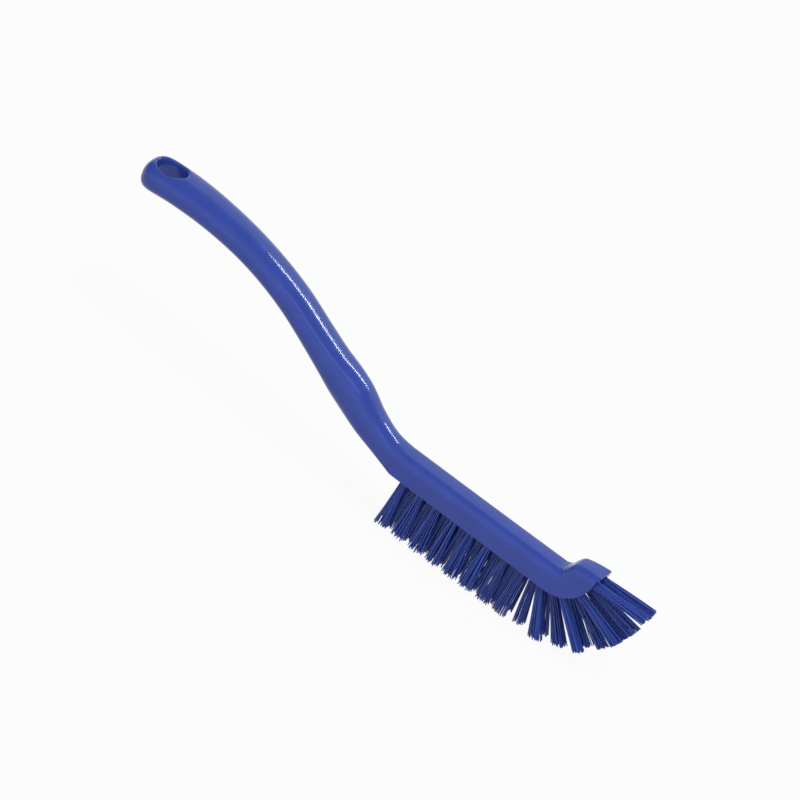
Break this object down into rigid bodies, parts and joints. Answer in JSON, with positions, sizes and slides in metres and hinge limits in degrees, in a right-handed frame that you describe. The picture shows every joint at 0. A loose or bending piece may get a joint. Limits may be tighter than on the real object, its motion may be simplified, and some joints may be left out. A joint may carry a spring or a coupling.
{
  "type": "joint brush",
  "caption": "Narrow hand brush with a curved handle, a hanging hole, a scraper lip and bristle tufts that fan out round its nose.",
  "frame": {"origin": "middle of the bounding box's bottom: halfway along the brush, on its middle plane, at the level of the bristle tips under the head", "axes": "+X along the brush from the handle's end to the nose, +Y across the head, +Z from the bristle tips to the head"},
  "size_m": [0.2813, 0.0224, 0.0762],
  "materials": {
    "moulding": "blue injection-moulded plastic, glossy",
    "filament": "blue extruded filament, satin",
    "anchor_wire": "bright flat wire"
  },
  "bodies": {
    "root": {"handle": "moulding", "tuft_01": "filament", "tuft_02": "filament", "tuft_03": "filament", "tuft_04": "filament", "tuft_05": "filament", "tuft_06": "filament", "tuft_07": "filament", "tuft_08": "filament", "tuft_09": "filament", "tuft_10": "filament", "tuft_11": "filament", "tuft_12": "filament", "tuft_13": "filament", "tuft_14": "filament", "tuft_15": "filament", "tuft_16": "filament", "tuft_17": "filament", "tuft_18": "filament", "tuft_19": "filament", "tuft_20": "filament", "tuft_21": "filament", "tuft_22": "filament", "tuft_23": "filament", "tuft_24": "filament", "tuft_25": "filament", "tuft_26": "filament", "tuft_27": "filament", "tuft_28": "filament", "tuft_29": "filament", "tuft_30": "filament", "tuft_31": "filament", "tuft_32": "filament", "tuft_33": "filament", "tuft_34": "filament", "tuft_35": "filament", "anchor_01": "anchor_wire", "anchor_02": "anchor_wire", "anchor_04": "anchor_wire", "anchor_05": "anchor_wire", "anchor_07": "anchor_wire", "anchor_08": "anchor_wire", "anchor_10": "anchor_wire", "anchor_11": "anchor_wire", "anchor_13": "anchor_wire", "anchor_14": "anchor_wire", "anchor_16": "anchor_wire", "anchor_17": "anchor_wire", "anchor_19": "anchor_wire", "anchor_20": "anchor_wire", "anchor_22": "anchor_wire", "anchor_23": "anchor_wire", "anchor_25": "anchor_wire", "anchor_26": "anchor_wire", "anchor_28": "anchor_wire", "anchor_29": "anchor_wire", "anchor_31": "anchor_wire", "anchor_32": "anchor_wire", "anchor_34": "anchor_wire", "anchor_35": "anchor_wire"}
  },
  "joints": []
}
